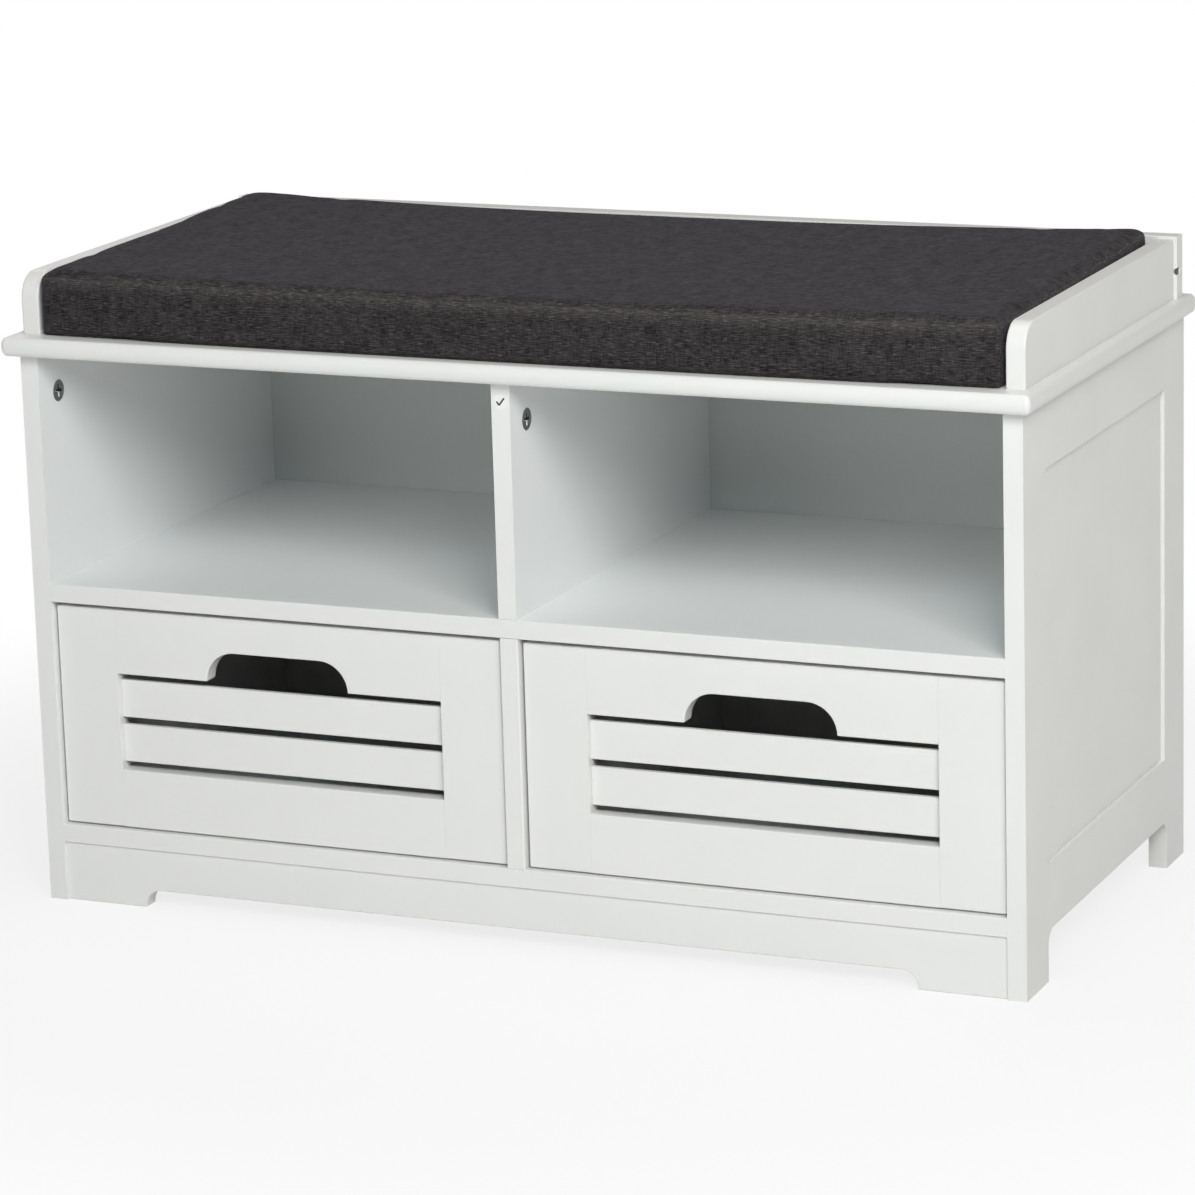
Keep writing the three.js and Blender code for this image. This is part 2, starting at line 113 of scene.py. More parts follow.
def sprayed_coat(name, white, shade):
    """A sprayed coat of polyurethane lacquer: even and satin, with a faint orange peel and clouding."""
    material = new_material(name)
    place = add_node(material, "ShaderNodeTexCoord").outputs["Object"]
    clouds = add_node(
        material, "ShaderNodeTexNoise", {"Vector": place, "Scale": 1 / CLOUD, "Detail": 3, "Roughness": 0.6}
    )
    peel = add_node(
        material, "ShaderNodeTexNoise", {"Vector": place, "Scale": 1 / PEEL, "Detail": 2, "Roughness": 0.55}
    )
    colour = add_node(
        material,
        "ShaderNodeMix",
        {"Factor": clouds.outputs["Fac"], 6: linear(white), 7: linear(shade)},
        data_type="RGBA",
    )
    gloss = add_node(
        material,
        "ShaderNodeMapRange",
        {"Value": clouds.outputs["Fac"], "From Min": 0.3, "From Max": 0.7, "To Min": 0.34, "To Max": 0.42},
    )
    bump = add_node(
        material, "ShaderNodeBump", {"Height": peel.outputs["Fac"], "Strength": 0.25, "Distance": 0.00006}
    )
    paint = add_node(
        material,
        "ShaderNodeBsdfPrincipled",
        {
            "Base Color": colour.outputs[2],
            "Roughness": gloss.outputs["Result"],
            "IOR": 1.5,
            "Normal": bump.outputs["Normal"],
        },
    )
    add_node(material, "ShaderNodeOutputMaterial", {"Surface": paint.outputs["BSDF"]})
    return material


lacquer = sprayed_coat("sprayed satin white lacquer", PAINT_WHITE, PAINT_SHADE)
# Painted light: the lighter, cooler white stands for the light inside the cubbies.
cubby_light_coat = sprayed_coat("satin white with painted cubby light", CUBBY_LIGHT_WHITE, CUBBY_LIGHT_SHADE)


def show(shape, name, node, material):
    """Makes a finished shape a piece that stands for its CAD node and moves with that node's body."""
    mesh = bpy.data.meshes.new(name)
    shape.to_mesh(mesh)
    shape.free()
    mesh.shade_smooth()
    mesh.materials.append(material)
    piece = bpy.data.objects.new(name, mesh)
    bpy.context.scene.collection.objects.link(piece)
    piece.modifiers.new("even shading", "WEIGHTED_NORMAL")
    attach(piece, frame["nodes"][node]["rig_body"])
    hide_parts(node)
    return piece


def faces_of(node, sides):
    """The named sides of a node's box, such as '-x +z', each as an axis, a place on it and a direction."""
    low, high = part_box(node)
    found = []
    for side in sides.split():
        axis = "xyz".index(side[1])
        outward = -1 if side[0] == "-" else 1
        found.append((axis, low[axis] if outward < 0 else high[axis], outward))
    return found


def arrises_of(shape):
    """The edges where two faces meet at a sharp angle."""
    return [edge for edge in shape.edges if edge.calc_face_angle(0) > math.radians(30)]


def lies_on(edge, planes):
    """Whether an edge lies in one of the planes."""
    return any(all(abs(v.co[axis] - place) < 0.00005 for v in edge.verts) for axis, place, _ in planes)


def round_over(shape, edges, radius, segments):
    """Rounds edges over to a radius."""
    bmesh.ops.bevel(
        shape,
        geom=edges,
        offset=radius,
        offset_type="OFFSET",
        segments=segments,
        profile=0.5,
        affect="EDGES",
        clamp_overlap=True,
        material=-1,
    )


def board_shape(node, radius=ARRIS, butts="", crisp=""):
    """A board's own shape with its open arrises rounded over. The sides that butt against another board
    are carried on across the paint line, and they and the crisp sides keep almost sharp arrises."""
    shape = bmesh.new()
    shape.from_mesh(frame["nodes"][node].data)
    bmesh.ops.remove_doubles(shape, verts=shape.verts, dist=0.00001)
    bmesh.ops.dissolve_limit(shape, angle_limit=math.radians(1), verts=shape.verts, edges=shape.edges)
    closed = faces_of(node, butts)
    planes = closed + faces_of(node, crisp)
    open_arrises = [edge for edge in arrises_of(shape) if not lies_on(edge, planes)]
    round_over(shape, open_arrises, radius, 3)
    round_over(shape, [edge for edge in arrises_of(shape) if lies_on(edge, planes)], CRISP_ARRIS, 2)
    for axis, place, outward in closed:
        for vertex in shape.verts:
            if abs(vertex.co[axis] - place) < CRISP_ARRIS * 1.2:
                vertex.co[axis] += outward * PAINT_LINE
    return shape


def board(node, inner="", **how):
    """Shows a lacquered board in place of its CAD node, with a lighter, cooler white on its inner sides as
    painted light.
    """
    piece = show(board_shape(node, **how), "painted_" + node, node, lacquer)
    if inner:
        piece.data.materials.append(cubby_light_coat)
    for axis, place, outward in faces_of(node, inner):
        for face in piece.data.polygons:
            if face.normal[axis] * outward > 0.9 and abs(face.center[axis] - place) < CRISP_ARRIS:
                face.material_index = 1
    return piece


board("left_side_panel", inner="+x", butts="+z", crisp="+x")
board("right_side_panel", inner="-x", butts="+z", crisp="-x")


# ---------- Bottom board, shelf and dividers ----------
# Boards of the same fibreboard, dowelled between the side panels. The shelf and the bottom board run the
# full width, and a divider stands in the middle of each storey. Only hairlines show where they meet.

board("bottom_board", butts="-x +x", crisp="+y")
board("shelf", inner="+z", butts="-x +x")
board("lower_divider", butts="-z +z", crisp="+y")
board("upper_divider", inner="-x +x", butts="-z +z")


# ---------- Inspection sticker ----------
# A round paper sticker on the front edge of the upper divider, stamped with a plain tick by whoever
# checked the bench before it was packed.

STICKER_RADIUS = 0.0058
STICKER_DROP = 0.015  # seat board to the middle of the sticker
STICKER_THICKNESS = 0.00012
TICK = [(-0.0030, 0.0002), (-0.0011, -0.0026), (0.0033, 0.0030)]
TICK_WIDTH = 0.0013
TICK_THICKNESS = 0.00004
TICK_LIFT = 0.00003  # from the face of the sticker to the middle of the ink
PAPER_FIBRE = 0.0004


def mottled(name, grain, detail, first, second, **finish):
    """A finish whose colour wanders between two tones in grains of one size."""
    material = new_material(name)
    place = add_node(material, "ShaderNodeTexCoord").outputs["Object"]
    grains = add_node(
        material, "ShaderNodeTexNoise", {"Vector": place, "Scale": 1 / grain, "Detail": detail}
    )
    colour = add_node(
        material,
        "ShaderNodeMix",
        {"Factor": grains.outputs["Fac"], 6: linear(first), 7: linear(second)},
        data_type="RGBA",
    )
    surface = add_node(
        material, "ShaderNodeBsdfPrincipled", {"Base Color": colour.outputs[2], **finish}
    )
    add_node(material, "ShaderNodeOutputMaterial", {"Surface": surface.outputs["BSDF"]})
    return material


def stuck_on(shape, name, material, lift):
    """Shows a thin shape drawn in X and Z on the divider's front edge, as a piece of its own."""
    low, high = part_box("upper_divider")
    centre = Vector(((low.x + high.x) / 2, low.y - lift, high.z - STICKER_DROP))
    bmesh.ops.translate(shape, vec=centre, verts=shape.verts)
    bmesh.ops.recalc_face_normals(shape, faces=shape.faces)
    mesh = bpy.data.meshes.new(name)
    shape.to_mesh(mesh)
    shape.free()
    mesh.materials.append(material)
    piece = bpy.data.objects.new(name, mesh)
    bpy.context.scene.collection.objects.link(piece)
    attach(piece, "carcass")


sticker = bmesh.new()
bmesh.ops.create_cone(
    sticker,
    cap_ends=True,
    segments=48,
    radius1=STICKER_RADIUS,
    radius2=STICKER_RADIUS - STICKER_THICKNESS / 2,
    depth=STICKER_THICKNESS,
    matrix=Matrix.Rotation(math.pi / 2, 4, "X"),
)
# Smooth paper, white with fine fibres that barely show.
paper = mottled("white sticker paper", PAPER_FIBRE, 4, "#f4f4f1", "#e9e9e6", Roughness=0.55)
stuck_on(sticker, "paper_sticker", paper, STICKER_THICKNESS / 2)

tick = bmesh.new()
for start, end in zip(TICK, TICK[1:]):
    stroke = Vector((end[0] - start[0], 0, end[1] - start[1]))
    middle = Vector((start[0] + end[0], 0, start[1] + end[1])) / 2
    lean = Matrix.Rotation(-math.atan2(stroke.z, stroke.x), 4, "Y")
    size = Matrix.Diagonal((stroke.length, TICK_THICKNESS, TICK_WIDTH, 1))
    bmesh.ops.create_cube(tick, size=1, matrix=Matrix.Translation(middle) @ lean @ size)
# Ink soaked into the paper, so it shows the same fibres in near blacks.
ink = mottled("black stamping ink", PAPER_FIBRE, 4, "#1a1a1c", "#3a3a3c", Roughness=0.55)
stuck_on(tick, "stamped_tick", ink, STICKER_THICKNESS + TICK_LIFT)


# ---------- Front apron ----------
# A narrow board glued up under the bottom board, a little behind its front edge. Its lower edge is sawn
# to a low arch that leaves a foot at each end.

board("front_apron", butts="-x +x +z")


# ---------- Back panel ----------
# A thin sheet of hardboard slid into grooves in the side panels. Its face is roller-coated white and
# duller than the lacquer, with the fine pimpled grain of pressed fibre showing through.

HARDBOARD_WHITE = "#dde1e0"
HARDBOARD_SHADE = "#d3d7d6"
HARDBOARD_ARRIS = 0.0004
FIBRE = 0.0013  # spacing of the pressed grain


def coated_hardboard():
    """Roller-coated hardboard: a thin matt coat over fine pressed fibre."""
    material = new_material("roller-coated white hardboard")
    place = add_node(material, "ShaderNodeTexCoord").outputs["Object"]
    fibre = add_node(
        material, "ShaderNodeTexNoise", {"Vector": place, "Scale": 1 / FIBRE, "Detail": 4, "Roughness": 0.7}
    )
    colour = add_node(
        material,
        "ShaderNodeMix",
        {"Factor": fibre.outputs["Fac"], 6: linear(HARDBOARD_WHITE), 7: linear(HARDBOARD_SHADE)},
        data_type="RGBA",
    )
    bump = add_node(
        material, "ShaderNodeBump", {"Height": fibre.outputs["Fac"], "Strength": 0.4, "Distance": 0.00008}
    )
    coat = add_node(
        material,
        "ShaderNodeBsdfPrincipled",
        {"Base Color": colour.outputs[2], "Roughness": 0.62, "IOR": 1.5, "Normal": bump.outputs["Normal"]},
    )
    add_node(material, "ShaderNodeOutputMaterial", {"Surface": coat.outputs["BSDF"]})
    return material


hardboard = coated_hardboard()


def hardboard_sheet(node):
    """Shows a sheet of hardboard in place of its CAD node."""
    show(board_shape(node, radius=HARDBOARD_ARRIS), "coated_" + node, node, hardboard)


hardboard_sheet("back_panel")


# ---------- Cam locks ----------
# Die-cast zinc cams pressed into round pockets in the side panels and the upper divider, with a cross slot
# for the screwdriver. Each pulls on a zinc-plated steel bolt that is screwed up into the seat board.

CAM_ARRIS = 0.0005
CAM_SKIN = 0.001  # faces nearer than this to a cam's ends belong to its ends, and the rest to its slot
PIT = 0.0009  # spacing of the pits in the casting
SLOT_MIDDLE = 0.5  # share of the radius where the slot is deepest
SLOT_RISE = 0.7  # how far its arms rise from there to the cam's face
WORN_RISE = 0.92  # and the lower arm, which is worn shallow
SLOT_REACH = 0.7  # share of the radius that the arms reach
GLINT_START = 0.22  # share of the radius below which the lower arm carries a painted highlight


def die_cast_zinc():
    """Barrel-finished die-cast zinc: dull grey metal with fine pitting and darker, dirtier hollows."""
    material = new_material("tumbled die-cast zinc")
    place = add_node(material, "ShaderNodeTexCoord").outputs["Object"]
    pits = add_node(
        material, "ShaderNodeTexNoise", {"Vector": place, "Scale": 1 / PIT, "Detail": 3, "Roughness": 0.65}
    )
    colour = add_node(
        material,
        "ShaderNodeMix",
        {"Factor": pits.outputs["Fac"], 6: linear("#868a8b"), 7: linear("#c8cac9")},
        data_type="RGBA",
    )
    roughness = add_node(
        material, "ShaderNodeMapRange", {"Value": pits.outputs["Fac"], "To Min": 0.28, "To Max": 0.55}
    )
    bump = add_node(
        material, "ShaderNodeBump", {"Height": pits.outputs["Fac"], "Strength": 0.5, "Distance": 0.0001}
    )
    metal = add_node(
        material,
        "ShaderNodeBsdfPrincipled",
        {
            "Base Color": colour.outputs[2],
            "Metallic": 1,
            "Roughness": roughness.outputs["Result"],
            "Normal": bump.outputs["Normal"],
        },
    )
    add_node(material, "ShaderNodeOutputMaterial", {"Surface": metal.outputs["BSDF"]})
    return material


zinc = die_cast_zinc()
# Painted shade: near-black for the depths of the slot, where shade falls.
painted_slot_shade = mottled("painted shade in a recess", 0.0006, 3, "#0c0d0e", "#2b2c2c", Roughness=0.7)
# Painted highlight: near-white zinc on the lower arm of the slot, where a lamp's reflection shows.
painted_slot_glint = mottled(
    "zinc with a painted highlight", 0.0005, 2, "#d8dadb", "#ffffff", Metallic=0.25, Roughness=0.5
)


def cam_shape(cam):
    """A cam whose cross slot slopes down to its middle, as one for a cross-head screwdriver does. Its faces
    are numbered 0 for bare metal, 1 for the painted shade in the depths and 2 for the painted highlight on
    the lower arm."""
    shape = bmesh.new()
    shape.from_mesh(frame["nodes"][cam].data)
    bmesh.ops.remove_doubles(shape, verts=shape.verts, dist=0.00001)
    bmesh.ops.dissolve_limit(shape, angle_limit=math.radians(1), verts=shape.verts, edges=shape.edges)
    low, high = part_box(cam)
    middle = (low + high) / 2
    half = (high.z - low.z) / 2
    inside = [f for f in shape.faces if low.x + CAM_SKIN < f.calc_center_median().x < high.x - CAM_SKIN]
    slot_floor = [f for f in inside if abs(f.normal.x) > 0.9]
    face_x = min((low.x, high.x), key=lambda x: abs(x - slot_floor[0].calc_center_median().x))
    bmesh.ops.poke(shape, faces=slot_floor)
    for vertex in shape.verts:
        reach = math.hypot(vertex.co.y - middle.y, vertex.co.z - middle.z)
        if low.x + CAM_SKIN < vertex.co.x < high.x - CAM_SKIN and reach > half * SLOT_MIDDLE:
            worn = vertex.co.z < middle.z - half * SLOT_MIDDLE
            vertex.co.x += (face_x - vertex.co.x) * (WORN_RISE if worn else SLOT_RISE)
    rim = [e for e in arrises_of(shape) if all(abs(v.co.x - face_x) < 0.00005 for v in e.verts)]
    round_over(shape, rim, CAM_ARRIS, 2)
    # Painted shade in the depths of the slot, and a painted highlight on its lower arm.
    for face in shape.faces:
        centre = face.calc_center_median()
        y = centre.y - middle.y
        z = centre.z - middle.z
        if math.hypot(y, z) < half * SLOT_REACH and abs(centre.x - face_x) > CAM_ARRIS:
            face.material_index = 2 if z < -half * GLINT_START else 1
    return shape


for place in ("left_panel", "right_panel", "upper_divider"):
    for row in ("front", "rear"):
        cam = f"{place}_{row}_cam"
        cast = show(cam_shape(cam), "cast_" + cam, cam, zinc)
        cast.data.materials.append(painted_slot_shade)
        cast.data.materials.append(painted_slot_glint)
        bolt = frame["nodes"][f"{cam}_bolt"]
        bolt.data.materials.clear()
        bolt.data.materials.append(zinc)


# ---------- Seat board ----------
# One board over the whole carcass. A cutter has run a shallow rounded nose along its front and both ends,
# and the front corners are eased with sandpaper.

NOSE_DEPTH = 0.0045  # how far in from its tip the nose is curved
NOSE_STEPS = 14
CORNER_EASING = 0.0042  # radius of the front corners in plan, at the tip of the nose
CORNER_STEPS = 5


def seat_outline(inset):
    """The board's outline at one level of the nose, from the rear left by the front to the rear right."""
    low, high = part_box("seat_board")
    radius = max(CORNER_EASING - inset, 0.0002)
    quarter = [math.pi / 2 * step / CORNER_STEPS for step in range(CORNER_STEPS + 1)]
    corner = [(radius * (1 - math.cos(turn)), radius * (1 - math.sin(turn))) for turn in quarter]
    left = [(low.x + inset + in_x, low.y + inset + in_y) for in_x, in_y in corner]
    right = [(high.x - inset - in_x, low.y + inset + in_y) for in_x, in_y in reversed(corner)]
    return [(low.x + inset, high.y), *left, *right, (high.x - inset, high.y)]


def seat_board_shape():
    """The seat board, built up from its outlines at each level of the nose."""
    low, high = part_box("seat_board")
    half = (high.z - low.z) / 2
    shape = bmesh.new()
    rings = []
    for step in range(NOSE_STEPS + 1):
        turn = math.pi * (step / NOSE_STEPS - 0.5)
        z = low.z + half * (1 + math.sin(turn))
        ring = [shape.verts.new((x, y, z)) for x, y in seat_outline(NOSE_DEPTH * (1 - math.cos(turn)))]
        rings.append([shape.edges.new((ring[i - 1], ring[i])) for i in range(len(ring))])
    for lower, upper in zip(rings, rings[1:]):
        bmesh.ops.bridge_loops(shape, edges=lower + upper)
    for ring in (rings[0], rings[-1]):
        bmesh.ops.contextual_create(shape, geom=ring)
    bmesh.ops.remove_doubles(shape, verts=shape.verts, dist=0.00001)
    rear = faces_of("seat_board", "+y")
    across_rear = [e for e in shape.edges if lies_on(e, rear) and e.calc_face_angle(0) < 0.001]
    bmesh.ops.dissolve_edges(shape, edges=across_rear, use_verts=False)
    bmesh.ops.recalc_face_normals(shape, faces=shape.faces)
    round_over(shape, [e for e in arrises_of(shape) if lies_on(e, rear)], CRISP_ARRIS, 2)
    return shape


show(seat_board_shape(), "painted_seat_board", "seat_board", lacquer)


# ---------- Rails ----------
# Low fibreboard rails on three sides of the seat board, screwed from below, to keep the cushion in place.
# The side rails have a rounded front corner. The back rail laps their ends, with a notch drilled at each
# end.

SIDE_RAIL_ARRIS = 0.0015
BACK_RAIL_ARRIS = 0.0021
NOTCH_INSET = (0.0008, 0.004)  # where the notch lies, from the end of the rail inwards
NOTCH_HEIGHT = (0.018, 0.0255)  # and above the seat board


for node in ("left_rail", "right_rail"):
    board(node, radius=SIDE_RAIL_ARRIS, butts="-z +y")
back_rail = board("back_rail", radius=BACK_RAIL_ARRIS, butts="-z")
# Fibreboard cut open after painting: brown, dusty and rough, and darkened as painted shade for the depth of
# the hole.
back_rail.data.materials.append(
    mottled("bare drilled fibreboard with painted shade", 0.0007, 4, "#57524b", "#8a8378", Roughness=0.9)
)
rail_low, rail_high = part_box("back_rail")
# Faces inside the notch take the dark bare fibreboard, which is partly painted shade of the deep hole.
for face in back_rail.data.polygons:
    inset = min(face.center.x - rail_low.x, rail_high.x - face.center.x)
    height = face.center.z - rail_low.z
    in_notch = NOTCH_INSET[0] < inset < NOTCH_INSET[1] and NOTCH_HEIGHT[0] < height < NOTCH_HEIGHT[1]
    behind_arris = face.center.y > rail_low.y + BACK_RAIL_ARRIS * 0.6
    if in_notch and behind_arris and abs(face.normal.z) < 0.9999:
        face.material_index = 1


# ---------- Drawers ----------
# Each drawer is a fibreboard box behind a front of two stiles, two rails and two thin slats. The frame is
# dowelled, glued and lacquered as one, so that only hairlines show at its joints. The slats lie back in a
# groove in the stiles, and the top rail is cut away for the fingers.

FRAME_ARRIS = 0.0014
SLAT_ARRIS = 0.0009
BOX_ARRIS = 0.0006

for drawer in ("left_drawer", "right_drawer"):
    board(f"{drawer}_left_stile", radius=FRAME_ARRIS, crisp="+x")
    board(f"{drawer}_right_stile", radius=FRAME_ARRIS, crisp="-x")
    board(f"{drawer}_top_rail", radius=SLAT_ARRIS, butts="-x +x")
    board(f"{drawer}_bottom_rail", radius=SLAT_ARRIS, butts="-x +x")
    board(f"{drawer}_slat_1", radius=SLAT_ARRIS, butts="-x +x")
    board(f"{drawer}_slat_2", radius=SLAT_ARRIS, butts="-x +x")
    board(f"{drawer}_left_side", radius=BOX_ARRIS, crisp="-y +x")
    board(f"{drawer}_right_side", radius=BOX_ARRIS, crisp="-y -x")
    board(f"{drawer}_back", radius=BOX_ARRIS, butts="-x +x")
    hardboard_sheet(f"{drawer}_bottom")


# ---------- Cushion ----------
# A slab of foam in a sewn cover of charcoal linen-look polyester. The top and bottom panels are joined by a
# boxing strip with plain seams that draw the cover in a little. The foam crowns the top, the sides draw in
# between the corners, and the bottom lies flat on the seat board.

SLAB_INSET = Vector((0.0004, 0.0005, 0.0013))  # the slab before the cover swells, inside the CAD's box
CORNER_RADIUS = 0.0035
EDGE_RADIUS = 0.005
BOTTOM_EDGE_RADIUS = 0.0012
VOXEL = 0.0045  # spacing of the mesh that the cover is simulated on
FRAMES = 20  # how long the cover is blown up for
SWELL = Vector((0.001, 0.001, 0.0018))  # the most that a point of the cover moves out
SIDE_DRAW = 0.001  # how far the middle of each end and of the rear draws in
FRONT_REACH = 0.002  # how far the front has crept forward over the seat board
FRONT_BOW = 0.007  # how much farther the foam pushes the middle of the front out
FRONT_SAG = 0.002  # how far the middle of the front edge has been sat down
FRONT_CORNER_RISE = 0.001  # how far the corners stand up, where the seams meet
REAR_CORNER_RISE = 0.007
RISE_START = 0.06  # where the rear edge starts to rise, from the middle of the cushion
LEFT_RISE = 0.0018  # the left end stands up all along
LEFT_CORNER_DROP = 0.002  # and slumps at its corners
REAR_TAPER = 0.002  # how much the right end falls short of its rail at the rear
RIM_SHARPENING = 0.8  # how far the rim of the bottom panel is pulled out to its piped seam
RIM = 0.006
SEAM_SINK = 0.0004  # how far the stitches draw the cover in
SEAM_WIDTH = 0.003
FLAT = 0.0002  # how far above the seat board the bottom panel lies
HIGHLIGHT_CREST = 0.002  # where the painted highlight along the upper seam is palest, on the boxing just below it
HIGHLIGHT_ABOVE = 0.006  # how far from there the painted highlight fades out, up over the seam and down the boxing
HIGHLIGHT_BELOW = 0.0075

slab_low, slab_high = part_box("seat_cushion")
slab_half = (slab_high - slab_low) / 2 - SLAB_INSET
slab_middle = (slab_low + slab_high) / 2
slab_middle.z = slab_low.z + slab_half.z + 0.0003  # room to lie on


def slab_shape():
    """The bare slab of foam, with rounded corners and edges."""
    shape = bmesh.new()
    bmesh.ops.create_cube(shape, size=2)
    bmesh.ops.scale(shape, vec=slab_half, verts=shape.verts)
    upright = [e for e in shape.edges if abs(e.verts[0].co.z - e.verts[1].co.z) > 0.001]
    round_over(shape, upright, CORNER_RADIUS, 5)
    round_over(shape, [e for e in arrises_of(shape) if e.verts[0].co.z > 0], EDGE_RADIUS, 3)
    round_over(shape, arrises_of(shape), BOTTOM_EDGE_RADIUS, 2)
    bmesh.ops.translate(shape, vec=slab_middle, verts=shape.verts)
    return shape


def settle(piece):
    """Applies a piece's modifiers to its mesh."""
    mesh = bpy.data.meshes.new_from_object(piece.evaluated_get(bpy.context.evaluated_depsgraph_get()))
    piece.modifiers.clear()
    piece.data = mesh


def swell(piece):
    """Blows the cover up over the foam, as far as its cloth and the cap allow."""
    resting = [vertex.co.copy() for vertex in piece.data.vertices]
    cover = piece.modifiers.new("cover", "CLOTH")
    cover.settings.quality = 5
    cover.settings.mass = 0.3
    cover.settings.tension_stiffness = 15
    cover.settings.compression_stiffness = 15
    cover.settings.shear_stiffness = 5
    cover.settings.bending_stiffness = 0.5
    cover.settings.use_pressure = True
    cover.settings.uniform_pressure_force = 4
    cover.settings.effector_weights.gravity = 0
    cover.point_cache.frame_start = 1
    cover.point_cache.frame_end = FRAMES
    for moment in range(1, FRAMES + 1):
        bpy.context.scene.frame_set(moment)
    settle(piece)
    bpy.context.scene.frame_set(1)
    for vertex, start in zip(piece.data.vertices, resting):
        for axis in range(3):
            moved = vertex.co[axis] - start[axis]
            vertex.co[axis] = start[axis] + SWELL[axis] * math.tanh(moved / SWELL[axis])


def side_inset(x, y):
    """How far a point of the slab lies inside its rounded outline in plan."""
    over_x = abs(x) - (slab_half.x - CORNER_RADIUS)
    over_y = abs(y) - (slab_half.y - CORNER_RADIUS)
    outside = math.hypot(max(over_x, 0), max(over_y, 0)) + min(max(over_x, over_y), 0)
    return CORNER_RADIUS - outside


def seam_distance(slab_point):
    """Distance across the cloth from the nearest seam: above zero on the boxing, below it on a panel."""
    x, y, z = slab_point - slab_middle
    return (slab_half.z - abs(z) - side_inset(x, y)) / math.sqrt(2)


def cloth_place(slab_point, boxing):
    """Where a point of the cover lies on the flat cloth that its panel was cut from."""
    x, y, z = slab_point - slab_middle
    if not boxing:
        return (x, y) if z > 0 else (x, y + 2)
    if slab_half.y - abs(y) < slab_half.x - abs(x):
        return (x, z + 1) if y < 0 else (2 * (slab_half.x + slab_half.y) - x, z + 1)
    along = slab_half.x + slab_half.y + y
    return (along if x > 0 else -along, z + 1)


pad_mesh = bpy.data.meshes.new("sewn_cushion")
slab = slab_shape()
slab.to_mesh(pad_mesh)
slab.free()
pad = bpy.data.objects.new("sewn_cushion", pad_mesh)
bpy.context.scene.collection.objects.link(pad)
remesh = pad.modifiers.new("even mesh", "REMESH")
remesh.mode = "VOXEL"
remesh.voxel_size = VOXEL
settle(pad)

slab_place = pad.data.attributes.new("slab place", "FLOAT_VECTOR", "POINT")
for vertex, kept in zip(pad.data.vertices, slab_place.data):
    kept.vector = vertex.co
swell(pad)
finer = pad.modifiers.new("finer mesh", "SUBSURF")
finer.levels = 1
finer.render_levels = 1
settle(pad)

places = [Vector(kept.vector) for kept in pad.data.attributes["slab place"].data]
normals = [vertex.normal.copy() for vertex in pad.data.vertices]
seams = pad.data.attributes.new("seam distance", "FLOAT", "POINT")
seam_highlights = pad.data.attributes.new("seam highlight distance", "FLOAT", "POINT")
for vertex, place, normal, seam, seam_highlight in zip(pad.data.vertices, places, normals, seams.data, seam_highlights.data):
    x, y, z = place - slab_middle
    across = x / slab_half.x
    deep = y / slab_half.y
    rearward = max(0, (deep + 1) / 2)
    height = (place.z - slab_low.z) / (2 * slab_half.z)
    inset = side_inset(x, y)
    rim = max(0, 1 - inset / RIM) * max(0, 1 - (place.z - slab_low.z) / RIM)
    outward = Vector((x / slab_half.x, y / slab_half.y, 0)) * RIM_SHARPENING * math.sqrt(rim)
    vertex.co.x += outward.x * inset
    vertex.co.y += outward.y * inset
    vertex.co.z -= RIM_SHARPENING * math.sqrt(rim) * (place.z - slab_low.z)
    vertex.co.x -= SIDE_DRAW * across * max(0, 1 - deep**4)
    vertex.co.y -= SIDE_DRAW * max(deep, 0) * max(0, 1 - across**8)
    vertex.co.x -= REAR_TAPER * max(across, 0) * rearward
    vertex.co.y -= max(-deep, 0) ** 3 * (FRONT_REACH + FRONT_BOW * max(0, 1 - across**4))
    rear_rise = REAR_CORNER_RISE * max(0, (abs(x) - RISE_START) / (slab_half.x - RISE_START)) ** 2
    front_rise = (FRONT_CORNER_RISE + FRONT_SAG) * abs(across) ** 1.5 - FRONT_SAG
    left_rise = LEFT_RISE * max(-across, 0) ** 8 * (1 - deep**6)
    from_corner = math.hypot(slab_half.x + x, slab_half.y - abs(y))
    left_rise -= LEFT_CORNER_DROP * math.exp(-((from_corner / 0.018) ** 2))
    vertex.co.z += height * (rear_rise * rearward**2.5 + front_rise * max(-deep, 0) ** 4 + left_rise)
    seam.value = seam_distance(place)
    # Painted highlight along the upper seam only, where 1 means none. It spreads up over the seam onto the
    # top, where it evens out the shade as the top rolls over.
    if z < 0:
        seam_highlight.value = 1
    else:
        from_crest = seam.value - HIGHLIGHT_CREST
        seam_highlight.value = min(1, from_crest / HIGHLIGHT_BELOW if from_crest > 0 else -from_crest / HIGHLIGHT_ABOVE)
    vertex.co -= normal * SEAM_SINK * math.exp(-((seam.value / SEAM_WIDTH) ** 2))
    vertex.co.z = max(vertex.co.z, slab_low.z + FLAT)

cloth_map = pad.data.uv_layers.new(name="cloth")
for face in pad.data.polygons:
    middle = sum((places[v] for v in face.vertices), Vector()) / len(face.vertices)
    boxing = seam_distance(middle) > 0
    for corner, vertex in zip(face.loop_indices, face.vertices):
        cloth_map.data[corner].uv = cloth_place(places[vertex], boxing)
pad.data.attributes.remove(pad.data.attributes["slab place"])
pad.data.shade_smooth()


